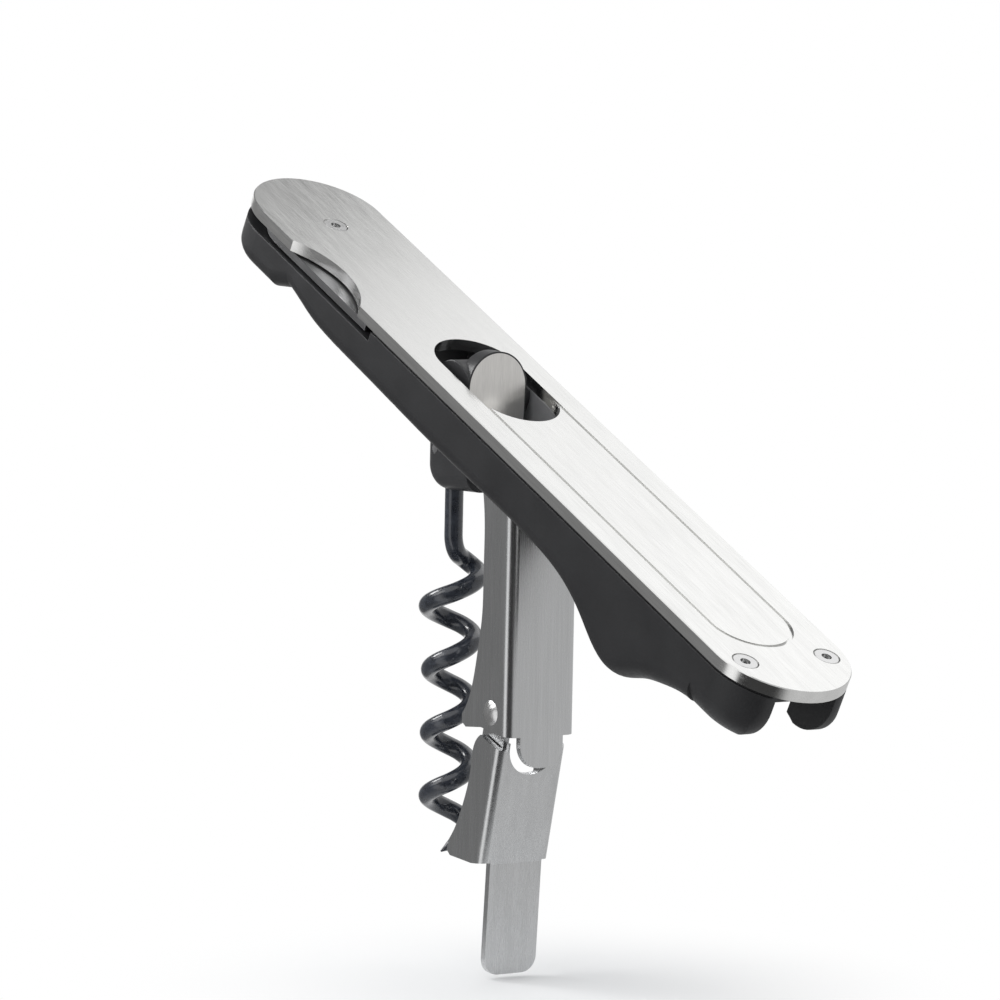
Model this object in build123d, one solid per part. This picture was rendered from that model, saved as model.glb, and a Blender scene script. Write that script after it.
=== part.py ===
from build123d import *
from math import cos, pi, radians, sin, sqrt
import os

# Push-pull corkscrew: a long handle, a folding worm with a push-up tab, a lever
# of two hinged stages and a foil blade. Sizes are in millimetres.
#
# Origin: on the worm's axis, level with the worm's tip. +Z runs up the worm,
# +X from the worm toward the lever, and the folding axes lie along Y.
# The handle is drawn flat (x along it, z out of its steel top), then tilted.

# Handle, in its own flat frame
TILT = 26.8
HANDLE_X = -29.99
HANDLE_Z = 88.41
HANDLE_WIDTH = 20.0
HANDLE_R = HANDLE_WIDTH / 2
LEFT_ARC_X = -4.1
RIGHT_ARC_X = 113.5
PLATE_T = 1.66
PLATE_EDGE = 0.12
OPENING_R = 6.3
OPENING_FROM = 39.2
OPENING_TO = 49.1
GROOVE_WIDTH = 0.5
GROOVE_DEPTH = 0.3
GROOVE_END_X = 106.45
NOTCH_X = 13.9
NOTCH_Y = -21.7
NOTCH_R = 15.0

# Handle body: depths below the plate's top, stations along the handle
SIDE_FILLET = 2.4
DEPTH_LEFT_FOOT = 8.9
LEFT_FOOT_R = 6.6
LEFT_FOOT_LEAN = 0.12
POST_END_X = -11.5
SEAM_HEIGHT = 0.35
SEAM_DEPTH = 0.35
FINGER_STEP_FROM = 1.8
FINGER_STEP_TO = 5.6
DEPTH_FINGER = 7.1
PALM_FROM_X = 16.0
PALM_X = 50.0
DEPTH_PALM = 9.3
BULGE_X = 93.5
BULGE_SPAN = 20.5
DEPTH_BULGE = 15.0
WAIST_X = 110.6
DEPTH_WAIST = 9.2
RIGHT_FOOT_X = 115.5
DEPTH_RIGHT_FOOT = 10.1
RIGHT_FOOT_R = 5.9
RIGHT_FOOT_ROUND = 4.8
RIGHT_FOOT_FROM = 110.6
# From the finger step to the palm: shares of that length and of that change in depth
FINGER_SHARES = [(0, 0), (0.33, 0.3), (0.65, 0.62), (1.1, 0.82), (1.8, 0.88)]
# Each side of the bulge: shares of its span and of its rise over the palm
BULGE_SHARES = [
    (-1.05, -0.03), (-0.68, 0.11), (-0.4, 0.46), (-0.2, 0.82), (0, 1),
    (0.16, 0.88), (0.33, 0.53), (0.52, 0.25),
]
CHANNEL_FROM = 29.4
CHANNEL_TO = 113.8
CHANNEL_HALF = 6.2
CHANNEL_WIDE_HALF = 6.9
CHANNEL_WIDE_FROM = 67.0
END_SLOT_HALF = 5.0
END_SLOT_ROOF = 2.6

# Foil blade, lying between the plate and the body
BLADE_T = 1.1
BLADE_GAP = 0.3
BLADE_REACH = 26.6
BLADE_HALF = 9.3
BLADE_TIP_HALF = 3.1
BLADE_NOSE_R = 2.6
BLADE_WASHER_R = 4.2
BLADE_END_GAP = 0.6

# Rivets and pins
RIVET_R = 1.85
RIVET_SHANK_R = 1.3
RIVET_DIMPLE_R = 0.7
RIVET_DIMPLE = 0.5
RIVET_FACE_INSET = 0.04
RIVET_EDGE = 0.22
RIVET_X = 115.5
RIVET_Y = 6.7
RIVET_LENGTH = 6.5
RUNNING_FIT = 0.05
OVERRUN = 200.0
PIVOT_R = 1.5
PIVOT_HALF = 8.2
LINER_T = 0.8
LINER_FROM = 34.2
LINER_TO = 65.2
LINER_DEPTH = 7.7
LINER_CORNER = 2.0
SPACER_R = 3.2
STUD_R = 1.6
STUD_HEAD_R = 2.3
STUD_HEAD_T = 0.4

# Carrier of the worm: pivot in the handle's flat frame
CARRIER_X = 41.6
CARRIER_DEPTH = 3.5
CARRIER_HALF = 4.9
HUB_R = 4.6
BLOCK_HALF = 3.5
BLOCK_LEFT = -2.7
BLOCK_TOP = 65.7
BLOCK_BOTTOM = 52.9
BLOCK_RIGHT = 7.6
BLOCK_NOSE_R = 3.6
BLOCK_EDGE_R = 2.4
TAB_FACE_X = 9.8
TAB_FACE_Z = 71.0
TAB_LEAN = 3.0
TAB_T = 2.6
TAB_ARC_Z = 67.5
TAB_FOOT_Z = 57.4
TAB_RIM = 0.22
CAP_T = 0.5
CAP_FOOT_Z = 58.0

# Worm
WIRE_R = 1.29
SHANK_TOP = 60.0
SHANK_BOTTOM = 46.6
CROSS_PIN_R = 0.6
CROSS_PIN_Z = 58.6
FIRST_TURN_R = 3.7
LAST_TURN_R = 2.9
NARROWING_QUARTERS = 6
PITCH = 8.8
JOIN_ANGLE = 88.6
JOIN_Z = 41.8
QUARTERS = 17
POINT_LENGTH = 3.4
POINT_R = 0.12

# Lever, upper stage: plane of its web and its pivot
WEB_X = 21.3
SHEET = 0.9
LEVER_HALF = 5.85
BEND_R = 1.5
LEVER_X = 17.4
LEVER_Z = 57.5
LOBE_R = 3.7
UPPER_WEB_TOP = 1.3
UPPER_WEB_END = 2.4
FLANGE_EDGE_X = 15.2
HINGE_X = 17.36
HINGE_Z = 23.8
HINGE_R = 1.2
HINGE_LOBE_R = 3.1
HEAD_R = 1.7
HEAD_T = 0.55
FOOT_TONGUE_HALF = 3.6
FOOT_TONGUE_END = 7.4
FOOT_TONGUE_CORNER = 3.24
# Where the flange sweeps out to the lip step: height over the hinge, reach to -X
LIP_CURVE = [(13.1, 2.3), (8.7, 3.05), (5.2, 3.8), (1.25, 5.15), (-0.75, 6.5)]
LIP_TOE = [(-1.85, 6.5), (-2.45, 5.6)]
LIP_FOOT_DROP = 2.15
LIP_FOOT_REACH = 2.1

# Lever, lower stage, drawn straight below the hinge, then turned about it
STAGE_TURN = 12.64
STAGE_WEB = 3.3
STAGE_GAP = 0.25
STAGE_LOBE_R = 2.9
STAGE_FLANGE_TOP = 3.6
STAGE_WEB_TOP = 3.4
STAGE_WEB_END = 20.9
# Free edge of the flange: depth below the hinge, reach past it toward the worm
STAGE_EDGE = [(3.6, 1.4), (5.0, 2.35), (8.9, 2.4), (11.6, 2.5), (14.6, 3.0), (17.7, 3.8), (19.7, 4.7)]
STAGE_TOE = [(21.4, 4.9), (21.9, 4.0), (21.3, -0.9), (20.6, -3.3)]
NOTCH_HALF = 4.1
NOTCH_CENTRE = 3.95
TONGUE_HALF = 4.35
TONGUE_END = 36.4
TONGUE_CORNER = 2.3
TONGUE_BEND = 9.0

os.makedirs("parts", exist_ok=True)


def keep(shape, node):
    export_step(shape, "parts/" + node + ".step")


def tilted(shape):
    """Takes a shape from the handle's flat frame to its place on the part."""
    return Pos(HANDLE_X, 0, HANDLE_Z) * Rot(0, TILT, 0) * shape


def from_flat(along, depth):
    """Place on the part (x, z) of a point at this depth below the handle's top."""
    t = radians(TILT)
    x = HANDLE_X + along * cos(t) - depth * sin(t)
    z = HANDLE_Z - along * sin(t) - depth * cos(t)
    return x, z


def side_prism(face_points, half, low=None):
    """Prism of a closed outline of (x, z) points, between two widths in Y."""
    bottom = -half if low is None else low
    wire = Polyline(*[(x, bottom, z) for x, z in face_points], close=True)
    return extrude(make_face(wire), amount=half - bottom, dir=(0, 1, 0))


def cross_pin(x, z, radius, low, high):
    """Round bar along Y."""
    return Pos(x, low, z) * Rot(-90, 0, 0) * Cylinder(
        radius, high - low, align=(Align.CENTER, Align.CENTER, Align.MIN)
    )


def stadium(first, last, radius, bottom, top):
    """Upright prism of a stadium along X."""
    face = Pos((first + last) / 2, 0, bottom) * SlotCenterToCenter(last - first, 2 * radius)
    return extrude(face, amount=top - bottom)


def rivet(x, y, top, length, head_depth):
    """Countersunk rivet with a flat head, a rounded rim and a dimple."""
    head = Pos(x, y, top - head_depth) * Cylinder(
        RIVET_R, head_depth, align=(Align.CENTER, Align.CENTER, Align.MIN)
    )
    head = chamfer(head.edges().group_by(Axis.Z)[-1], RIVET_EDGE)
    shank = Pos(x, y, top - length) * Cylinder(
        RIVET_SHANK_R, length - head_depth, align=(Align.CENTER, Align.CENTER, Align.MIN)
    )
    dimple = Pos(x, y, top - RIVET_DIMPLE) * Cylinder(
        RIVET_DIMPLE_R, PLATE_T, align=(Align.CENTER, Align.CENTER, Align.MIN)
    )
    return head + shank - dimple


# Steel top of the handle
blade_top = -PLATE_T - BLADE_GAP
blade_bottom = blade_top - BLADE_T
recess_floor = blade_bottom - BLADE_GAP
recess_to = BLADE_REACH + BLADE_END_GAP
rivet_heads = [(0, 0), (RIVET_X, -RIVET_Y), (RIVET_X, RIVET_Y)]

plate = stadium(LEFT_ARC_X, RIGHT_ARC_X, HANDLE_R, -PLATE_T, 0)
plate = chamfer(plate.edges().group_by(Axis.Z)[-1], PLATE_EDGE)
plate -= stadium(OPENING_FROM, OPENING_TO, OPENING_R, -2 * PLATE_T, PLATE_T)
groove_end = stadium(OPENING_TO, GROOVE_END_X, OPENING_R, -GROOVE_DEPTH, PLATE_T)
groove_end -= stadium(OPENING_FROM, GROOVE_END_X, OPENING_R - GROOVE_WIDTH, -PLATE_T, 2 * PLATE_T)
plate -= groove_end
plate -= Pos(NOTCH_X, NOTCH_Y, 0) * Cylinder(NOTCH_R, 4 * PLATE_T)
for x, y in rivet_heads:
    plate -= Pos(x, y, 0) * Cylinder(RIVET_R, 4 * PLATE_T)
keep(tilted(plate), "top_plate")

# Rivets: one is the blade's pivot, two hold the plate's right end
foot_rivets = {"plate_rivet_near": -RIVET_Y, "plate_rivet_far": RIVET_Y}
head_top = -RIVET_FACE_INSET
blade_rivet = rivet(0, 0, head_top, RIVET_LENGTH, PLATE_T - RIVET_FACE_INSET)
keep(tilted(blade_rivet), "blade_rivet")
for node, y in foot_rivets.items():
    end_rivet = rivet(RIVET_X, y, head_top, RIVET_LENGTH, PLATE_T - RIVET_FACE_INSET)
    keep(tilted(end_rivet), node)

# Body of the handle: its long side outline, cut to the plate's outline in plan
left_end = LEFT_ARC_X - HANDLE_R
finger_length = PALM_FROM_X - FINGER_STEP_TO
finger_drop = DEPTH_PALM - DEPTH_FINGER
bulge_rise = DEPTH_BULGE - DEPTH_PALM
underside = [
    (FINGER_STEP_TO + along * finger_length, -DEPTH_FINGER - deep * finger_drop)
    for along, deep in FINGER_SHARES
]
underside += [(PALM_X, -DEPTH_PALM)]
underside += [
    (BULGE_X + along * BULGE_SPAN, -DEPTH_PALM - deep * bulge_rise) for along, deep in BULGE_SHARES
]
underside += [(WAIST_X, -DEPTH_WAIST), (RIGHT_FOOT_X, -DEPTH_RIGHT_FOOT)]
corner_share = 1 - sin(pi / 4)
left_face = left_end - LEFT_FOOT_LEAN
left_corner = (left_face, -DEPTH_LEFT_FOOT + LEFT_FOOT_R)
left_corner_mid = (
    left_face + LEFT_FOOT_R * corner_share,
    -DEPTH_LEFT_FOOT + LEFT_FOOT_R * corner_share,
)
left_bottom = (left_face + LEFT_FOOT_R, -DEPTH_LEFT_FOOT)
right_end = RIGHT_FOOT_X + RIGHT_FOOT_R
foot_top = (right_end, -DEPTH_RIGHT_FOOT + RIGHT_FOOT_R)
foot_mid = (
    right_end - RIGHT_FOOT_R * corner_share,
    -DEPTH_RIGHT_FOOT + RIGHT_FOOT_R * corner_share,
)
outline = [
    Line((left_face, -PLATE_T), left_corner),
    ThreePointArc(left_corner, left_corner_mid, left_bottom),
    Line(left_bottom, (FINGER_STEP_FROM, -DEPTH_LEFT_FOOT)),
    Line((FINGER_STEP_FROM, -DEPTH_LEFT_FOOT), underside[0]),
    Spline(*underside),
    ThreePointArc(underside[-1], foot_mid, foot_top),
    Line(foot_top, (right_end, -PLATE_T)),
    Line((right_end, -PLATE_T), (recess_to, -PLATE_T)),
    Line((recess_to, -PLATE_T), (recess_to, recess_floor)),
    Line((recess_to, recess_floor), (POST_END_X, recess_floor)),
    Line((POST_END_X, recess_floor), (POST_END_X, -PLATE_T)),
    Line((POST_END_X, -PLATE_T), (left_face, -PLATE_T)),
]
side_face = Plane.XZ * make_face(outline)
body = extrude(side_face, amount=HANDLE_R, both=True)
body &= stadium(LEFT_ARC_X, RIGHT_ARC_X, HANDLE_R, -2 * HANDLE_WIDTH, 0)
under = body.edges().filter_by(lambda e: e.center().Z < recess_floor - BLADE_T)
rim = under.filter_by(
    lambda e: abs(abs(e.center().Y) - HANDLE_R) < RUNNING_FIT or e.geom_type != GeomType.LINE
)
body = fillet(rim, SIDE_FILLET)
foot_low = -DEPTH_RIGHT_FOOT - RUNNING_FIT
foot_form = stadium(LEFT_ARC_X, RIGHT_ARC_X, HANDLE_R + RUNNING_FIT, foot_low, PLATE_T)
foot_form = fillet(foot_form.edges().group_by(Axis.Z)[0], RIGHT_FOOT_ROUND)
foot_zone = Pos(RIGHT_FOOT_FROM, 0, 0) * Box(
    OVERRUN, OVERRUN, OVERRUN, align=(Align.MIN, Align.CENTER, Align.CENTER)
)
body -= foot_zone - foot_form
seam = stadium(LEFT_ARC_X, RIGHT_ARC_X, HANDLE_R + PLATE_T, -PLATE_T - SEAM_HEIGHT, PLATE_T)
seam -= stadium(LEFT_ARC_X, RIGHT_ARC_X, HANDLE_R - SEAM_DEPTH, -2 * PLATE_T, 2 * PLATE_T)
body -= seam
channel_length = CHANNEL_TO - CHANNEL_FROM
channel_middle = (CHANNEL_TO + CHANNEL_FROM) / 2
body -= Pos(channel_middle, 0, 0) * Box(channel_length, 2 * CHANNEL_HALF, OVERRUN)
wide_length = CHANNEL_TO - CHANNEL_WIDE_FROM
body -= Pos((CHANNEL_TO + CHANNEL_WIDE_FROM) / 2, 0, 0) * Box(
    wide_length, 2 * CHANNEL_WIDE_HALF, OVERRUN
)
body -= Pos(CHANNEL_TO, 0, -END_SLOT_ROOF) * Box(
    2 * HANDLE_R, 2 * END_SLOT_HALF, HANDLE_WIDTH, align=(Align.MIN, Align.CENTER, Align.MAX)
)
liner_length = LINER_TO - LINER_FROM
liner_height = LINER_DEPTH - PLATE_T
liner_face = RectangleRounded(liner_length, liner_height, LINER_CORNER)
liner_at = Pos((LINER_FROM + LINER_TO) / 2, 0, -(LINER_DEPTH + PLATE_T) / 2)
liner_stock = extrude(liner_at * (Plane.XZ * liner_face), amount=CHANNEL_HALF + LINER_T, both=True)
body -= liner_stock
lever_flat_x = (LEVER_X - HANDLE_X) * cos(radians(TILT)) - (LEVER_Z - HANDLE_Z) * sin(radians(TILT))
lever_flat_z = (LEVER_X - HANDLE_X) * sin(radians(TILT)) + (LEVER_Z - HANDLE_Z) * cos(radians(TILT))
carrier_pin = cross_pin(CARRIER_X, -CARRIER_DEPTH, PIVOT_R, -PIVOT_HALF, PIVOT_HALF)
stud_holes = cross_pin(lever_flat_x, lever_flat_z, STUD_R, -PIVOT_HALF, PIVOT_HALF)
body -= carrier_pin
body -= stud_holes
for x, y in rivet_heads:
    body -= Pos(x, y, -RIVET_LENGTH - RIVET_FACE_INSET) * Cylinder(
        RIVET_SHANK_R, HANDLE_WIDTH, align=(Align.CENTER, Align.CENTER, Align.MIN)
    )
keep(tilted(body), "handle_body")

# Blade washer on the body, steel liners, carrier's pin, spacers, lever's studs
washer = Pos(0, 0, recess_floor) * Cylinder(
    BLADE_WASHER_R, BLADE_GAP, align=(Align.CENTER, Align.CENTER, Align.MIN)
)
washer -= Pos(0, 0, 0) * Cylinder(RIVET_SHANK_R, 2 * HANDLE_WIDTH)
keep(tilted(washer), "blade_washer")
for side, name in ((-1, "near"), (1, "far")):
    slab = Pos(0, side * (CHANNEL_HALF + LINER_T / 2), 0) * Box(OVERRUN, LINER_T, OVERRUN)
    liner = (liner_stock & slab) - carrier_pin - stud_holes
    keep(tilted(liner), "liner_" + name)
    inner = CARRIER_HALF + BLADE_GAP
    ends = sorted((side * inner, side * CHANNEL_HALF))
    spacer = cross_pin(CARRIER_X, -CARRIER_DEPTH, SPACER_R, ends[0], ends[1]) & Pos(
        0, 0, -PLATE_T - BLADE_GAP / 2
    ) * Box(OVERRUN, OVERRUN, OVERRUN, align=(Align.CENTER, Align.CENTER, Align.MAX))
    spacer -= carrier_pin
    keep(tilted(spacer), "spacer_" + name)
    head_in = LEVER_HALF - SHEET - BLADE_GAP
    shaft = sorted((side * head_in, side * PIVOT_HALF))
    head = sorted((side * (head_in - STUD_HEAD_T), side * head_in))
    stud = cross_pin(lever_flat_x, lever_flat_z, STUD_R, shaft[0], shaft[1])
    stud += cross_pin(lever_flat_x, lever_flat_z, STUD_HEAD_R, head[0], head[1])
    keep(tilted(stud), "lever_stud_" + name)
keep(tilted(carrier_pin), "carrier_pin")

# Foil blade: round tail about the rivet, straight edge, back sloping to the tip
tip_x = sqrt(BLADE_REACH**2 - BLADE_HALF**2)
back_turn = radians(TILT / 2)
back_start = (BLADE_HALF * sin(back_turn), BLADE_HALF * cos(back_turn))
blade_points = [
    (0, 0),
    (0, -BLADE_HALF),
    (tip_x, -BLADE_HALF),
    (tip_x, -BLADE_TIP_HALF),
    back_start,
]
blade_face = make_face(Polyline(*[(x, y, blade_bottom) for x, y in blade_points], close=True))
blade = extrude(blade_face, amount=BLADE_T, dir=(0, 0, 1))
nose_edges = blade.edges().filter_by(Axis.Z).group_by(Axis.X)[-1]
blade = fillet(nose_edges.sort_by(Axis.Y)[-1], BLADE_NOSE_R)
blade += Pos(0, 0, blade_bottom) * Cylinder(
    BLADE_HALF, BLADE_T, align=(Align.CENTER, Align.CENTER, Align.MIN)
)
blade -= Pos(0, 0, blade_bottom) * Cylinder(RIVET_SHANK_R + RUNNING_FIT, HANDLE_WIDTH)
keep(tilted(blade), "foil_blade")

# Carrier: hub on its pin, block round the worm's shank, leaning tab
carrier_x, carrier_z = from_flat(CARRIER_X, CARRIER_DEPTH)
hub = cross_pin(carrier_x, carrier_z, HUB_R, -CARRIER_HALF, CARRIER_HALF)
block = side_prism(
    [
        (BLOCK_LEFT, BLOCK_TOP),
        (BLOCK_LEFT, BLOCK_BOTTOM),
        (BLOCK_RIGHT, BLOCK_BOTTOM),
        (BLOCK_RIGHT, BLOCK_TOP),
    ],
    BLOCK_HALF,
)
nose_edge = block.edges().filter_by(Axis.Y).group_by(Axis.Z)[0].sort_by(Axis.X)[0]
block = fillet(nose_edge, BLOCK_NOSE_R)
left_edges = block.edges().filter_by(Axis.Z).group_by(Axis.X)[0]
block = fillet(left_edges, BLOCK_EDGE_R)
lean = radians(TAB_LEAN)


def on_tab(height, inward):
    """Point (x, z) on the leaning tab, this far behind its face."""
    rise = height - TAB_FACE_Z
    x = TAB_FACE_X + rise * sin(lean) - inward * cos(lean)
    return x, TAB_FACE_Z + rise * cos(lean) + inward * sin(lean)


def tab_prism(radius, foot, front, back):
    """Upright slab with a round top, between two depths behind the tab's face."""
    face = Plane(
        origin=(on_tab(TAB_ARC_Z, back)[0], 0, on_tab(TAB_ARC_Z, back)[1]),
        x_dir=(0, 1, 0),
        z_dir=(cos(lean), 0, -sin(lean)),
    )
    drop = TAB_ARC_Z - foot
    plan = Circle(radius) + Pos(0, -drop / 2) * Rectangle(2 * radius, drop)
    return extrude(face * plan, amount=back - front)


tab = tab_prism(CARRIER_HALF, TAB_FOOT_Z, 0, TAB_T)
web_points = [
    on_tab(TAB_FOOT_Z, TAB_T / 2),
    on_tab(TAB_ARC_Z, TAB_T / 2),
    (carrier_x - HUB_R / 2, carrier_z + HUB_R / 2),
    (BLOCK_LEFT + WIRE_R, BLOCK_TOP - WIRE_R),
    (BLOCK_RIGHT, TAB_FOOT_Z - TAB_T),
]
carrier_web = side_prism(web_points, BLOCK_HALF)
cap_stock = tab_prism(CARRIER_HALF - TAB_RIM, CAP_FOOT_Z, 0, CAP_T)
carrier = hub + block + carrier_web + tab
front = Plane(
    origin=(on_tab(TAB_FACE_Z, 0)[0], 0, on_tab(TAB_FACE_Z, 0)[1]),
    x_dir=(0, 1, 0),
    z_dir=(cos(lean), 0, -sin(lean)),
)
carrier -= extrude(front * Rectangle(OVERRUN, OVERRUN), amount=OVERRUN)
carrier -= cap_stock
carrier -= cross_pin(carrier_x, carrier_z, PIVOT_R + RUNNING_FIT, -HANDLE_WIDTH, HANDLE_WIDTH)
carrier -= Pos(0, 0, 0) * Cylinder(WIRE_R, SHANK_TOP, align=(Align.CENTER, Align.CENTER, Align.MIN))
carrier -= cross_pin(0, CROSS_PIN_Z, CROSS_PIN_R, -BLOCK_HALF, BLOCK_HALF)
keep(carrier, "worm_carrier")
keep(cap_stock, "tab_cap")
keep(cross_pin(0, CROSS_PIN_Z, CROSS_PIN_R, -BLOCK_HALF, BLOCK_HALF), "worm_cross_pin")


# Worm: stations a quarter turn apart, joined by pairs of tangent arcs
def turn_radius(quarter):
    share = min(quarter / NARROWING_QUARTERS, 1)
    return FIRST_TURN_R + (LAST_TURN_R - FIRST_TURN_R) * share


def station(quarter):
    """Point and downward direction on the right-handed coil."""
    angle = radians(JOIN_ANGLE - 90 * quarter)
    radius = turn_radius(quarter)
    shrink = turn_radius(quarter + 1) - radius
    point = Vector(radius * cos(angle), radius * sin(angle), JOIN_Z - PITCH * quarter / 4)
    round_way = Vector(sin(angle), -cos(angle), 0) * radius * (pi / 2)
    inward = Vector(cos(angle), sin(angle), 0) * shrink
    return point, (round_way + inward + Vector(0, 0, -PITCH / 4)).normalized()


def tangent_pair(start, start_way, end, end_way):
    """Two arcs that leave one point along its direction and reach the next along its own."""
    gap = end - start
    ways = start_way + end_way
    a = 4 - ways.dot(ways)
    b = 2 * gap.dot(ways)
    c = -gap.dot(gap)
    reach = (-b + sqrt(b * b - 4 * a * c)) / (2 * a)
    corner_a = start + start_way * reach
    corner_b = end - end_way * reach
    middle = (corner_a + corner_b) * 0.5
    middle_way = (corner_b - corner_a).normalized()
    first = TangentArc(start, middle, tangent=start_way)
    second = TangentArc(middle, end, tangent=middle_way)
    return [first, second]


shank_end = Vector(0, 0, SHANK_BOTTOM)
edges = [Line((0, 0, SHANK_TOP), (0, 0, SHANK_BOTTOM))]
last_point, last_way = shank_end, Vector(0, 0, -1)
for quarter in range(QUARTERS + 1):
    point, way = station(quarter)
    edges += tangent_pair(last_point, last_way, point, way)
    last_point, last_way = point, way
centre_line = Wire([edge for curve in edges for edge in curve.edges()])
wire_face = Pos(0, 0, SHANK_TOP) * Circle(WIRE_R)
worm = sweep(wire_face, path=centre_line)
tip_plane = Plane(origin=last_point, z_dir=last_way)
worm += Solid.make_cone(WIRE_R, POINT_R, POINT_LENGTH, plane=tip_plane)
worm -= cross_pin(0, CROSS_PIN_Z, CROSS_PIN_R, -BLOCK_HALF, BLOCK_HALF)
keep(worm, "worm")


def channel_section(web_outer, half, low_z, high_z):
    """Folded sheet: a web square to X and two flanges back toward the worm."""
    depth = 3 * HANDLE_R
    outer = Pos(web_outer - depth / 2, 0, (low_z + high_z) / 2) * Box(depth, 2 * half, high_z - low_z)
    outer = fillet(outer.edges().filter_by(Axis.Z).group_by(Axis.X)[-1], BEND_R)
    inner = Pos(web_outer - SHEET - depth / 2, 0, (low_z + high_z) / 2) * Box(
        depth, 2 * (half - SHEET), 2 * (high_z - low_z)
    )
    inner = fillet(inner.edges().filter_by(Axis.Z).group_by(Axis.X)[-1], BEND_R - SHEET)
    return outer - inner


# Lever, upper stage: pivot lobes, long channel, lip step and tongue
span_top = LEVER_Z + LOBE_R
span_low = HINGE_Z - FOOT_TONGUE_END
sheet_metal = channel_section(WEB_X, LEVER_HALF, span_low, span_top)
lip_points = [(HINGE_X - reach, HINGE_Z + rise) for rise, reach in LIP_CURVE]
toe_points = [(HINGE_X - reach, HINGE_Z + rise) for rise, reach in LIP_TOE]
lip_foot = (HINGE_X - LIP_FOOT_REACH, HINGE_Z - LIP_FOOT_DROP)
flange_corner = (WEB_X, HINGE_Z - HINGE_LOBE_R)
flange_wire = [
    Line(flange_corner, (WEB_X, LEVER_Z)),
    Line((WEB_X, LEVER_Z), (LEVER_X + LOBE_R, LEVER_Z)),
    ThreePointArc((LEVER_X + LOBE_R, LEVER_Z), (LEVER_X, LEVER_Z + LOBE_R), (LEVER_X - LOBE_R, LEVER_Z)),
    Spline(
        (LEVER_X - LOBE_R, LEVER_Z),
        (FLANGE_EDGE_X, LEVER_Z - 2 * LOBE_R),
        (FLANGE_EDGE_X, LEVER_Z - 4 * LOBE_R),
        *lip_points,
    ),
    Line(lip_points[-1], toe_points[0]),
    Line(toe_points[0], toe_points[1]),
    Line(toe_points[1], lip_foot),
    Line(lip_foot, flange_corner),
]
flange_face = Plane.XZ * make_face(flange_wire)
flanges = extrude(flange_face, amount=HANDLE_R, both=True)
upper = sheet_metal & flanges
web_cut_top = LEVER_Z - UPPER_WEB_TOP
upper -= Pos(WEB_X, 0, web_cut_top) * Box(
    2 * (WEB_X - LEVER_X - STUD_R), 2 * (LEVER_HALF - BEND_R), 2 * HANDLE_R,
    align=(Align.CENTER, Align.CENTER, Align.MIN),
)
foot_tongue = Pos(WEB_X - SHEET / 2, 0, HINGE_Z - UPPER_WEB_END + SHEET) * Box(
    SHEET, 2 * FOOT_TONGUE_HALF, FOOT_TONGUE_END - UPPER_WEB_END + SHEET,
    align=(Align.CENTER, Align.CENTER, Align.MAX),
)
foot_tongue = fillet(foot_tongue.edges().filter_by(Axis.X).group_by(Axis.Z)[0], FOOT_TONGUE_CORNER)
upper += foot_tongue
upper -= cross_pin(LEVER_X, LEVER_Z, STUD_R + RUNNING_FIT, -HANDLE_WIDTH, HANDLE_WIDTH)
upper -= cross_pin(HINGE_X, HINGE_Z, HINGE_R, -HANDLE_WIDTH, HANDLE_WIDTH)
keep(upper, "lever_upper")

# Hinge rivets of the two stages, with domed heads
stage_inner_half = LEVER_HALF - SHEET - STAGE_GAP - SHEET
for side, name in ((-1, "near"), (1, "far")):
    shank = sorted((side * (stage_inner_half - STAGE_GAP), side * LEVER_HALF))
    hinge = cross_pin(HINGE_X, HINGE_Z, HINGE_R, shank[0], shank[1])
    dome_r = (HEAD_R**2 + HEAD_T**2) / (2 * HEAD_T)
    ball = Pos(HINGE_X, side * (LEVER_HALF + HEAD_T - dome_r), HINGE_Z) * Sphere(dome_r)
    cut = sorted((side * LEVER_HALF, side * HANDLE_R))
    hinge += ball & cross_pin(HINGE_X, HINGE_Z, HEAD_R, cut[0], cut[1])
    tail_out = stage_inner_half - STAGE_GAP
    tail = sorted((side * (tail_out - STUD_HEAD_T), side * tail_out))
    hinge += cross_pin(HINGE_X, HINGE_Z, HEAD_R, tail[0], tail[1])
    keep(hinge, "hinge_rivet_" + name)

# Lever, lower stage, drawn with the hinge at the origin and its web along -Z
joggle_half = LEVER_HALF - SHEET - STAGE_GAP
lower_edge = [(-reach, -drop) for drop, reach in STAGE_EDGE]
toe = [(-reach, -drop) for drop, reach in STAGE_TOE]
stage_sheet = channel_section(STAGE_WEB, LEVER_HALF, -STAGE_TOE[1][0] - SHEET, 0)
stage_wire = [
    Line((STAGE_WEB, -STAGE_FLANGE_TOP - SHEET), lower_edge[0]),
    Spline(*lower_edge),
    Line(lower_edge[-1], toe[0]),
    Line(toe[0], toe[1]),
    Line(toe[1], toe[2]),
    Line(toe[2], toe[3]),
    Line(toe[3], (STAGE_WEB, -STAGE_WEB_END + SHEET)),
    Line((STAGE_WEB, -STAGE_WEB_END + SHEET), (STAGE_WEB, -STAGE_FLANGE_TOP - SHEET)),
]
stage_flange = extrude(Plane.XZ * make_face(stage_wire), amount=HANDLE_R, both=True)
lower = stage_sheet & stage_flange
horn_top = STAGE_WEB_TOP
horns = Pos(STAGE_WEB - SHEET / 2, 0, -(horn_top + STAGE_WEB_END) / 2) * Box(
    SHEET, 2 * (LEVER_HALF - BEND_R), STAGE_WEB_END - horn_top
)
lower += horns
notch_face = Pos(0, -NOTCH_CENTRE) * Circle(NOTCH_HALF) + Pos(0, -NOTCH_CENTRE / 2) * Rectangle(
    2 * NOTCH_HALF, NOTCH_CENTRE
)
notch_plane = Plane(origin=(0, 0, 0), x_dir=(0, 1, 0), z_dir=(1, 0, 0))
lower -= extrude(notch_plane * notch_face, amount=HANDLE_R)
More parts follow.
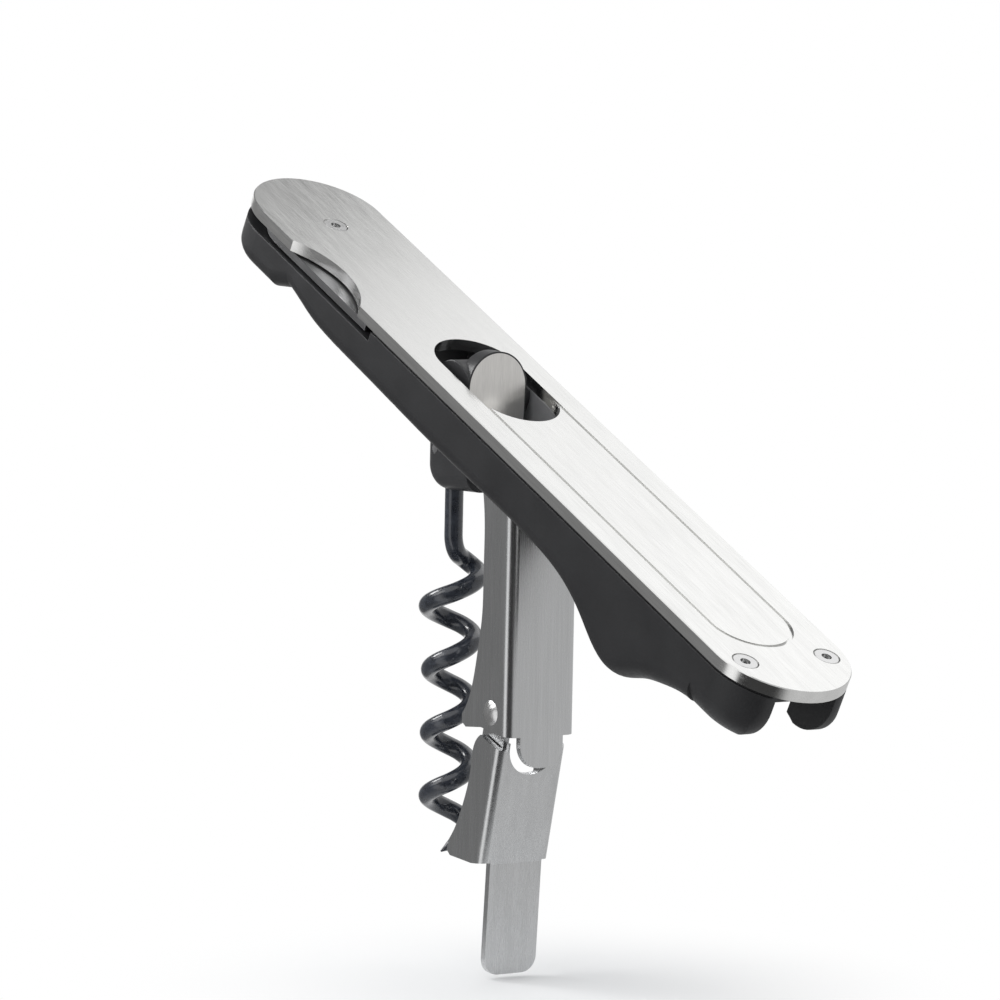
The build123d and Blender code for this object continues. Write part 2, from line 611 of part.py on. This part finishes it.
for side in (-1, 1):
    ear_low = sorted((side * (joggle_half - SHEET), side * joggle_half))
    ear = cross_pin(0, 0, STAGE_LOBE_R, ear_low[0], ear_low[1])
    neck = Pos(0, side * (joggle_half - SHEET / 2), -(STAGE_LOBE_R + 2 * SHEET) / 2 - SHEET) * Box(
        2 * STAGE_LOBE_R - SHEET, SHEET, STAGE_LOBE_R + 2 * SHEET
    )
    joint_low = sorted((side * (joggle_half - SHEET), side * (LEVER_HALF - SHEET / 2)))
    step = Pos(0, (joint_low[0] + joint_low[1]) / 2, -STAGE_FLANGE_TOP - 1.6 * SHEET) * Box(
        2 * STAGE_LOBE_R - SHEET, joint_low[1] - joint_low[0], SHEET
    )
    lower += ear + neck
    lower += step & stage_flange
bend_z = -STAGE_WEB_END
tongue_plane = Plane(
    origin=(STAGE_WEB - SHEET, 0, bend_z),
    x_dir=(0, 1, 0),
    z_dir=(cos(radians(TONGUE_BEND)), 0, sin(radians(TONGUE_BEND))),
)
tongue_length = TONGUE_END - STAGE_WEB_END
tongue_face = Pos(0, -tongue_length / 2 + SHEET / 2) * Rectangle(2 * TONGUE_HALF, tongue_length + SHEET)
tongue_face = fillet(tongue_face.vertices().group_by(Axis.Y)[0], TONGUE_CORNER)
lower += extrude(tongue_plane * tongue_face, amount=SHEET)
lower -= cross_pin(0, 0, HINGE_R + RUNNING_FIT, -HANDLE_WIDTH, HANDLE_WIDTH)
keep(Pos(HINGE_X, 0, HINGE_Z) * Rot(0, STAGE_TURN, 0) * lower, "lever_lower")
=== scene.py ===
# %% [markdown]
# # A push-pull corkscrew
#
# The solid parts of this corkscrew come from a CAD model: the handle, the lever in
# two stages, the worm and its push tab. This lesson gives each part a finish that
# fits how it was made, and sets up a studio like the one that it was seen in.
# The first cell loads the CAD parts, which nothing later in the script moves.

# %% Load the fixed frame
import math

import bmesh
import bpy
from mathutils import Matrix, Vector


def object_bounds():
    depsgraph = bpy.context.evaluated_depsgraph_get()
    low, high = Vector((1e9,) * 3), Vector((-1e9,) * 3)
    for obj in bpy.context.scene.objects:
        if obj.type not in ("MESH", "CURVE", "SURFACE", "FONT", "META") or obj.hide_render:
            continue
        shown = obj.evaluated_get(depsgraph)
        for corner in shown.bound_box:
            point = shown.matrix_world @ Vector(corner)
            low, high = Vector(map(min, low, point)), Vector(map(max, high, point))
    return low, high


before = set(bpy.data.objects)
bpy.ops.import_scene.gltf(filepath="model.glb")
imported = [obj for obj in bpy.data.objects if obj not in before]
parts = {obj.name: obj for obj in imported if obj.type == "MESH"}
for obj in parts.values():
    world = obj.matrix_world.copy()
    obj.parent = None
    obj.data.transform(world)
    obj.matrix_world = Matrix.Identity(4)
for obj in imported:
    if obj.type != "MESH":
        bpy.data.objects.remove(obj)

cad_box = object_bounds()
print("CAD parts loaded:", len(parts))

# %% [markdown]
# ## Where things are
#
# The parts sit unturned at the room's origin, so a pattern on them starts out level
# with the room. The handle slopes down to the right by 26.8 degrees and is brushed
# along its length, so its patterns are turned by `TILT` about `RIVET`, the left
# rivet's centre. The lever stands nearly upright and is brushed up and down, and
# `HINGE` is where its two stages meet. All lengths are in metres.

# %% Places and directions of the patterns
TILT = math.radians(26.8)
QUARTER = math.radians(90)
ORIGIN = (0.0, 0.0, 0.0)
RIVET = (-0.02999, 0.0, 0.08841)
HINGE = (0.01736, 0.0, 0.0238)
ALONG_HANDLE = (0.0, TILT, 0.0)
ACROSS_HANDLE = (0.0, TILT, QUARTER)
UPRIGHT = (0.0, QUARTER, 0.0)
SIDEWAYS = (QUARTER, 0.0, 0.0)
print("left rivet at", [round(v * 1000, 1) for v in RIVET], "mm")

# %% [markdown]
# ## A small language for shaders
#
# A finish can be wired by hand in the shader editor. A tree of dozens of nodes is
# easier to read and to mend as arithmetic, so this lesson writes it that way.
# `Value` wraps one output socket, and `1 - near` or `hairs * 0.65` then adds the
# Math node.


# %% Sockets that can be added and multiplied
class Value:
    """One output socket that takes part in sums."""

    def __init__(self, tree, socket):
        self.tree, self.socket = tree, socket

    def _math(self, operation, first, second):
        return self.tree.node("ShaderNodeMath", {"operation": operation}, {0: first, 1: second})

    def __add__(self, other):
        return self._math("ADD", self, other)

    def __sub__(self, other):
        return self._math("SUBTRACT", self, other)

    def __rsub__(self, other):
        return self._math("SUBTRACT", other, self)

    def __mul__(self, other):
        return self._math("MULTIPLY", self, other)

    __radd__, __rmul__ = __add__, __mul__


def blend(first, second, share):
    """The first value by its share, and the second for the rest."""
    return first * share + second * (1 - share)


print("sums of sockets ready")

# %% [markdown]
# `Tree` adds any other node in one call: its type, its settings, and what goes into
# its sockets. A number goes in as it is, and a `Value` is linked. The finishes, the
# floor and the room all use it, so its other methods hold what they share. Most of
# a noise lies between 0.3 and 0.7, and `spread` stretches it to the range needed.


# %% Trees of nodes
NOISE_LOW, NOISE_HIGH = 0.3, 0.7


class Tree:
    """The shader nodes of a material or a world."""

    def __init__(self, node_tree):
        self.nodes, self.links = node_tree.nodes, node_tree.links

    def node(self, kind, settings=None, inputs=None, out=0):
        """Adds a node and hands back one of its outputs."""
        made = self.nodes.new(kind)
        for key, value in (settings or {}).items():
            setattr(made, key, value)
        for key, value in (inputs or {}).items():
            if isinstance(value, Value):
                self.links.new(value.socket, made.inputs[key])
            else:
                made.inputs[key].default_value = value
        return Value(self, made.outputs[out])

    def place(self, origin=ORIGIN, turn=(0, 0, 0), size=(1, 1, 1)):
        """Object coordinates in another frame, measured in grains of this size."""
        return self.node(
            "ShaderNodeMapping", {"vector_type": "TEXTURE"},
            {"Vector": self.node("ShaderNodeTexCoord", out="Object"),
             "Location": origin, "Rotation": turn, "Scale": size},
        )

    def noise(self, where, detail, rough=0.55):
        """A noise whose grains are one unit of these coordinates."""
        return self.node(
            "ShaderNodeTexNoise", None,
            {"Vector": where, "Scale": 1.0, "Detail": detail, "Roughness": rough},
        )

    def grain(self, size, detail=2.0, rough=0.55):
        """A noise with round grains of this size."""
        return self.noise(self.place(size=(size, size, size)), detail, rough)

    def spread(self, value, low, high, to_low=0.0, to_high=1.0, ease="LINEAR"):
        """Stretches a value from one range to another."""
        return self.node(
            "ShaderNodeMapRange", {"interpolation_type": ease},
            {"Value": value, "From Min": low, "From Max": high, "To Min": to_low, "To Max": to_high},
        )

    def show(self, output, value):
        """Sends a shader to the tree's output node."""
        self.links.new(value.socket, self.nodes[output].inputs["Surface"])


print("tree methods:", [name for name in vars(Tree) if not name.startswith("_")])

# %% [markdown]
# A `Finish` is a material with one Principled shader. What is the same all over is
# set on the shader's own sockets. What changes over the surface is fed in by name.
# `tone` gives a finish its darker and lighter colours.


# %% Materials
DARKER, LIGHTER = 0.82, 1.2


class Finish(Tree):
    """A material with one Principled shader, built node by node."""

    def __init__(self, name, color, metallic=0.0, roughness=0.5, more=None):
        self.material = bpy.data.materials.new(name)
        self.material.use_nodes = True
        self.material.diffuse_color = (*color, 1)
        super().__init__(self.material.node_tree)
        self.shader = self.nodes["Principled BSDF"]
        even = {"Base Color": (*color, 1), "Metallic": metallic, "Roughness": roughness}
        for socket, value in {**even, **(more or {})}.items():
            self.shader.inputs[socket].default_value = value

    def shade(self, amount, dark, light):
        """A colour between two, by an amount from 0 to 1. The colours are sockets 6 and 7."""
        inputs = {0: amount, 6: (*dark, 1), 7: (*light, 1)}
        return self.node("ShaderNodeMix", {"data_type": "RGBA"}, inputs, out=2)

    def relief(self, height, depth, soft_edge=0.0):
        """Bump of this depth in metres, on edges softened by this radius."""
        inputs = {"Height": height, "Distance": depth, "Strength": 1.0}
        if soft_edge:
            inputs["Normal"] = self.node("ShaderNodeBevel", {"samples": 6}, {"Radius": soft_edge})
        return self.node("ShaderNodeBump", None, inputs)

    def feed(self, values):
        """Links what changes over the surface, and hands the material back."""
        for socket, value in values.items():
            self.links.new(value.socket, self.shader.inputs[socket])
        return self.material


def tone(color, by):
    """A colour made darker or lighter, and never brighter than white."""
    return tuple(min(c * by, 1) for c in color)


print("a darker tone of mid grey:", tone((0.5, 0.5, 0.5), DARKER))

# %% [markdown]
# ## Brushed steel
#
# The handle's top, the lever and the tab's cap are stainless steel rubbed one way
# with an abrasive belt. The blade is ground across its length. An anisotropic shader
# would stretch the highlights and show no scratches, and a picture would need a
# flat layout of each part. So a noise is stretched along the rubbing and read twice:
# fine for the hairlines, which are real relief, and coarse for bands about twice as
# long and nine times as wide. Both change roughness as well as colour, because a
# deep scratch scatters more light.

# %% Brushed steel along any direction
SCRATCH_DEPTH = 2e-6
HAIR_SHARE, LIGHT_SHARE = 0.65, 0.6
BAND_LENGTHS, BAND_WIDTHS = 2.2, 9
CLOUD_SIZE = 0.02


def brushed(name, color, origin, turn, length, width, roughness, contrast=0.12):
    """Steel with scratches of this length and width."""
    steel = Finish(name, color, metallic=1.0, roughness=roughness)
    hairs = steel.noise(steel.place(origin, turn, (length, width, width)), 4.0, 0.6)
    band = (length * BAND_LENGTHS, width * BAND_WIDTHS, width * BAND_WIDTHS)
    bands = steel.noise(steel.place(origin, turn, band), 2.0)
    streaks = steel.spread(blend(hairs, bands, HAIR_SHARE), low=0.32, high=0.68)
    dulled = blend(streaks, steel.grain(CLOUD_SIZE), share=0.7)
    dark, light = tone(color, 1 - contrast), tone(color, 1 + contrast * LIGHT_SHARE)
    return steel.feed({
        "Base Color": steel.shade(streaks, dark, light),
        "Roughness": steel.spread(dulled, 0, 1, roughness - 0.06, roughness + 0.08),
        "Normal": steel.relief(hairs, SCRATCH_DEPTH),
    })


plate_steel = brushed(
    "brushed plate steel", (0.80, 0.80, 0.79), RIVET, ALONG_HANDLE,
    length=0.005, width=0.00014, roughness=0.18,
)
lever_steel = brushed(
    "brushed lever steel", (0.62, 0.625, 0.63), ORIGIN, UPRIGHT,
    length=0.010, width=0.00013, roughness=0.26,
)
cap_steel = brushed(
    "brushed tab steel", (0.80, 0.785, 0.76), ORIGIN, UPRIGHT,
    length=0.008, width=0.0001, roughness=0.32,
)
blade_steel = brushed(
    "ground blade steel", (0.24, 0.24, 0.245), RIVET, ACROSS_HANDLE,
    length=0.006, width=0.00008, roughness=0.42, contrast=0.1,
)
print("steels:", [m.name for m in (plate_steel, lever_steel, cap_steel, blade_steel)])

# %% [markdown]
# ## Turned and plain steel
#
# Rivet heads are faced on a lathe and then polished by use, so their marks are
# rings. Rings could be cut into the mesh, but marks this fine are better drawn by a
# Wave texture, which counts them in millimetres. One finish serves the handle's
# three heads. It is centred on the left one, and the other two are so small that
# its arcs pass for their own. The pins and studs inside the handle are drawn steel
# with a dull grey skin, and get the same recipe in a rougher and darker tone.

# %% Rivets and inner steel
MILLIMETRE = 0.001
RING_DEPTH = 3e-6
WEAR_SIZE = 0.0012


def turned(name, color, origin, turn, roughness):
    """Steel with rings round an axis through this place."""
    steel = Finish(name, color, metallic=1.0, roughness=roughness)
    rings = steel.node(
        "ShaderNodeTexWave", {"wave_type": "RINGS", "rings_direction": "Z"},
        {"Vector": steel.place(origin, turn, (MILLIMETRE, MILLIMETRE, MILLIMETRE)),
         "Scale": 2.2, "Distortion": 0.6, "Detail": 1.0},
        out=1,
    )
    worn = steel.grain(WEAR_SIZE, 3.0)
    marks = steel.spread(blend(worn, rings, share=0.6), NOISE_LOW, NOISE_HIGH)
    return steel.feed({
        "Base Color": steel.shade(marks, tone(color, DARKER), color),
        "Roughness": steel.spread(worn, NOISE_LOW, NOISE_HIGH, roughness - 0.04, roughness + 0.1),
        "Normal": steel.relief(rings, RING_DEPTH),
    })


rivet_steel = turned(
    "polished rivet steel", (0.72, 0.72, 0.72), RIVET, ALONG_HANDLE, roughness=0.2
)
hinge_steel = turned(
    "polished hinge steel", (0.75, 0.75, 0.75), HINGE, SIDEWAYS, roughness=0.22
)
inner_steel = turned(
    "plain inner steel", (0.42, 0.42, 0.43), ORIGIN, ALONG_HANDLE, roughness=0.42
)
print("turned finishes:", [m.name for m in (rivet_steel, hinge_steel, inner_steel)])

# %% [markdown]
# ## Matte plastic
#
# The handle's body is moulded in charcoal plastic with a fine spark-eroded grain.
# It is dark but never black, and its broad faces catch a soft sheen. One even grey
# would look like a drawing, so two noises break it up: a fine one for the grain,
# which is real relief, and a slow one for the faint clouds that fingers leave. A
# mould has no sharp corners either, and a Bevel node rounds them in the shading.

# %% Charcoal plastic
MOULD_EDGE = 0.0003
FINGER_CLOUD = 0.009


def moulded(name, color, roughness, grain, depth):
    """Plastic, or a dull dark surface like it, with grains of this size and depth."""
    plastic = Finish(name, color, roughness=roughness, more={"IOR": 1.46})
    fine = plastic.grain(grain, 4.0, 0.65)
    slow = plastic.grain(FINGER_CLOUD, 3.0)
    mottle = plastic.spread(blend(slow, fine, share=0.6), low=0.35, high=0.65)
    return plastic.feed({
        "Base Color": plastic.shade(mottle, tone(color, DARKER), tone(color, LIGHTER)),
        "Roughness": plastic.spread(slow, NOISE_LOW, NOISE_HIGH, roughness - 0.05, roughness + 0.06),
        "Normal": plastic.relief(fine, depth, MOULD_EDGE),
    })


body_plastic = moulded(
    "charcoal body plastic", (0.018, 0.018, 0.0195), roughness=0.48, grain=0.00022, depth=8e-6
)
carrier_plastic = moulded(
    "charcoal carrier plastic", (0.034, 0.034, 0.036), roughness=0.4, grain=0.00022, depth=6e-6
)
print("plastics:", body_plastic.name, "and", carrier_plastic.name)

# %% [markdown]
# ## Liners in painted shade
#
# The liners that show in the opening get a dull dark grey instead of bright steel.
# This dark grey is painted shade: it stands in for the shade deep in the opening.
# The plastic's recipe fits it, with a finer grain.

# %% Liners in painted shade
# The liners' dark dull grey is painted shade for the deep opening, not a coating.
liner_painted_shade = moulded(
    "liners in painted shade", (0.20, 0.20, 0.205), roughness=0.5, grain=0.0001, depth=2e-6
)
print("liner shade:", liner_painted_shade.name)

# %% [markdown]
# ## The worm's coat
#
# The wire has a slippery baked coat: dark blue-black, glossy, and a little uneven
# along the wire where it pooled while it cured. One glossy layer would give a single
# hard highlight. A clear coat over a rougher base gives the sharp one and the soft
# one that such a coat shows.

# %% Non-stick coat
POOL_SIZE = (0.0016, 0.0016, 0.0009)
SPECK_SIZE, SPECK_DEPTH = 0.00018, 4e-6

coat = Finish(
    "glossy worm coat", (0.022, 0.026, 0.036), roughness=0.3,
    more={"Coat Weight": 0.7, "Coat Roughness": 0.08},
)
pooled = coat.noise(coat.place(size=POOL_SIZE), 3.0)
speck = coat.grain(SPECK_SIZE)
thickness = coat.spread(pooled, low=0.35, high=0.7)
worm_coat = coat.feed({
    "Base Color": coat.shade(thickness, (0.016, 0.019, 0.027), (0.035, 0.041, 0.055)),
    "Roughness": coat.spread(blend(pooled, speck, share=0.7), NOISE_LOW, NOISE_HIGH, 0.22, 0.38),
    "Normal": coat.relief(speck, SPECK_DEPTH),
})
print("worm coat:", worm_coat.name)

# %% [markdown]
# ## Dress the CAD parts
#
# Every CAD part keeps its shape and gets one of the finishes. The washer, the pins
# and the studs are not in the list, because they are all of plain inner steel.

# %% Give each part its finish
finishes = {
    "handle_body": body_plastic,
    "top_plate": plate_steel,
    "foil_blade": blade_steel,
    "worm_carrier": carrier_plastic,
    "tab_cap": cap_steel,
    "worm": worm_coat,
    "lever_upper": lever_steel,
    "lever_lower": lever_steel,
    "blade_rivet": rivet_steel,
    "plate_rivet_near": rivet_steel,
    "plate_rivet_far": rivet_steel,
    "hinge_rivet_near": hinge_steel,
    "hinge_rivet_far": hinge_steel,
    "liner_near": liner_painted_shade,
    "liner_far": liner_painted_shade,
    "spacer_near": carrier_plastic,
    "spacer_far": carrier_plastic,
}
for name, part in parts.items():
    part.data.materials.clear()
    part.data.materials.append(finishes.get(name, inner_steel))
print("dressed:", len(parts), "of them in inner steel:", sum(n not in finishes for n in parts))

# %% [markdown]
# ## Studio
#
# A tool like this is photographed in a white tent. Steel shows mostly what it
# mirrors, so the tent matters more than the lamps. Panels could stand round the tool
# and be mirrored in it, but they would also light it. Here the tent's walls are
# painted into the world by direction instead. They are grey, with four patches: the
# white backdrop, a dim wall at the left that the lever's flanges mirror, and a
# bright strip beside a dark place that its rounded bends mirror as two thin lines.

# %% The tent's walls
WHITE = (1, 1, 1)
WALL = 0.62
PATCHES = (
    # toward, where it starts, where it is full, how bright
    ((-0.80, -0.59, 0.0), -0.36, 0.24, 0.215),  # dim left wall
    ((0.71, -0.70, 0.0), 0.76, 0.90, 0.05),  # dark place
    ((0.05, -0.99, 0.0), 0.945, 0.975, 1.1),  # bright strip
    ((-0.80, 0.59, 0.0), 0.84, 0.96, 1.0),  # white backdrop
)


def vector(tree, operation, inputs, out=0):
    """Vector Math, whose numbers come out of the socket named Value."""
    return tree.node("ShaderNodeVectorMath", {"operation": operation}, inputs, out)


def mix(amount, first, second):
    """The second shader by this amount, and the first for the rest."""
    return amount.tree.node("ShaderNodeMixShader", None, {0: amount, 1: first, 2: second})


def ray(tree, kind):
    """1 for rays of this kind, and 0 for all others."""
    return tree.node("ShaderNodeLightPath", out=kind)


def tent_walls(glow, way):
    """The walls as a shader, by the way that a ray goes or that a place lies."""
    walls = glow(WALL)
    for direction, low, high, strength in PATCHES:
        toward = vector(way.tree, "DOT_PRODUCT", {0: way, 1: direction}, "Value")
        walls = mix(way.tree.spread(toward, low, high, ease="SMOOTHSTEP"), walls, glow(strength))
    return walls


print("patches on the walls:", len(PATCHES))

# %% [markdown]
# The world asks each ray what kind it is. A ray from the camera or through something
# clear finds plain white, a mirrored ray finds the tent, and the soft light that
# reaches everything else is a faint, slightly cool grey.

# %% Room
SOFT_LIGHT, SOFT_COLOR = 0.7, (0.96, 0.98, 1.0)

world = bpy.data.worlds.new("white tent")
bpy.context.scene.world = world
world.use_nodes = True
room = Tree(world.node_tree)


def room_glow(strength, color=WHITE):
    return room.node("ShaderNodeBackground", None, {"Color": (*color, 1), "Strength": strength})


tent = tent_walls(room_glow, room.node("ShaderNodeTexCoord", out="Generated"))
found = mix(ray(room, "Is Glossy Ray"), room_glow(SOFT_LIGHT, SOFT_COLOR), tent)
straight = ray(room, "Is Camera Ray") + ray(room, "Is Transmission Ray")
room.show("World Output", mix(straight, found, room_glow(1.0)))
print("room ready:", world.name)

# %% [markdown]
# The floor is a real one near the tool, so that it takes the soft shadow. Farther
# out it turns into the same glow as the room, and no horizon shows. Rays mirrored in
# the lever's bends dip a few degrees and end on the floor, so the floor has the
# tent's patches too.

# %% Floor
FLOOR_GAP = 0.0006
FLOOR_REACH = 3.0
FLOOR_Z = cad_box[0][2] - FLOOR_GAP
FLOOR_MIDDLE = (0.02, 0.0, FLOOR_Z)
FLOOR_GRAIN = 0.002
SHADOW_REACH = 0.062

table = bmesh.new()
bmesh.ops.create_grid(table, x_segments=1, y_segments=1, size=FLOOR_REACH)
bmesh.ops.translate(table, verts=table.verts, vec=(0, 0, FLOOR_Z))
floor_mesh = bpy.data.meshes.new("studio_floor")
table.to_mesh(floor_mesh)
table.free()
floor = bpy.data.objects.new("studio_floor", floor_mesh)
bpy.context.collection.objects.link(floor)

pale = Finish("pale floor", (0.88, 0.88, 0.88), roughness=0.7)
tooth = pale.spread(pale.grain(FLOOR_GRAIN), NOISE_LOW, NOISE_HIGH, 0.65, 0.75)
floor_mesh.materials.append(pale.feed({"Roughness": tooth}))


def floor_glow(strength):
    return pale.node("ShaderNodeEmission", None, {"Color": (*WHITE, 1), "Strength": strength})


spot = pale.place(FLOOR_MIDDLE)
distance = vector(pale, "LENGTH", {0: spot}, "Value")
near = pale.spread(distance, 0.0, SHADOW_REACH, 1.0, 0.0, "SMOOTHSTEP")
far = 1 - near
walls_below = tent_walls(floor_glow, vector(pale, "NORMALIZE", {0: spot}))
surface = Value(pale, pale.shader.outputs[0])
for_mirrors = mix(ray(pale, "Is Glossy Ray") * far, surface, walls_below)
for_camera = mix(ray(pale, "Is Camera Ray") * far, for_mirrors, floor_glow(1.0))
pale.show("Material Output", for_camera)
print("floor at", round(FLOOR_Z * 1000, 2), "mm")

# %% [markdown]
# Four broad, weak lamps shape the tool. Small ones would be mirrored in the steel as
# burnt-out spots, so a lamp grows as its light does. The largest stand behind and
# before the top, and two smaller ones lighten the dark left end.

# %% Lamps
MIDDLE = (0.015, 0, 0.045)
LAMPS = (
    # name, place, what it points at, width, height, watts
    ("tent roof", (-0.146, 0.5, 0.63), MIDDLE, 0.48, 0.6, 0.68),
    ("left fill", (-0.12, -0.32, 0.24), (-0.02, 0, 0.08), 0.2, 0.2, 0.25),
    ("high end fill", (-0.126, -0.077, 0.15), (-0.03, 0, 0.085), 0.06, 0.06, 0.11),
    ("top front", (0.06, -0.3, 0.5), MIDDLE, 0.6, 0.6, 0.9),
)
for name, place, target, width, height, watts in LAMPS:
    panel = bpy.data.lights.new(name, "AREA")
    panel.shape = "RECTANGLE"
    panel.size, panel.size_y = width, height
    panel.energy = watts
    lamp = bpy.data.objects.new(name, panel)
    lamp.location = place
    lamp.rotation_euler = (Vector(target) - Vector(place)).to_track_quat("-Z", "Y").to_euler()
    bpy.context.collection.objects.link(lamp)
print("lamps:", len(bpy.data.lights))

# %% [markdown]
# ## Camera
#
# The photograph was taken from far off with a long lens, from the near right and
# only 4 degrees above the tool, and held a degree off level. These values come from
# fitting straight edges of the real object, so the picture lies over the photograph.

# %% Camera at the photograph's place
HEADING, DIP, ROLL = math.radians(143.61), math.radians(4.324), math.radians(-1.157)
EYE = Vector((0.61461, -0.44509, 0.10884))
SENSOR = 36.0
SENSORS_LONG = 5.5

ahead = Vector((math.cos(HEADING) * math.cos(DIP), math.sin(HEADING) * math.cos(DIP), -math.sin(DIP)))
level_right = ahead.cross(Vector((0, 0, 1))).normalized()
level_down = ahead.cross(level_right).normalized()
right = level_right * math.cos(ROLL) + level_down * math.sin(ROLL)
down = level_down * math.cos(ROLL) - level_right * math.sin(ROLL)

lens = bpy.data.cameras.new("camera")
lens.sensor_fit = "HORIZONTAL"
lens.sensor_width = SENSOR
lens.lens = SENSOR * SENSORS_LONG
lens.clip_start, lens.clip_end = 0.01, 20.0
camera = bpy.data.objects.new("camera", lens)
camera.matrix_world = Matrix.Translation(EYE) @ Matrix((right, -down, -ahead)).transposed().to_4x4()
bpy.context.collection.objects.link(camera)
bpy.context.scene.camera = camera
bpy.context.scene.view_settings.view_transform = "Standard"
print("lens", round(lens.lens, 1), "mm at", [round(v, 3) for v in EYE])

# %% [markdown]
# ## Finish

# %% Finish
print("scene set up")
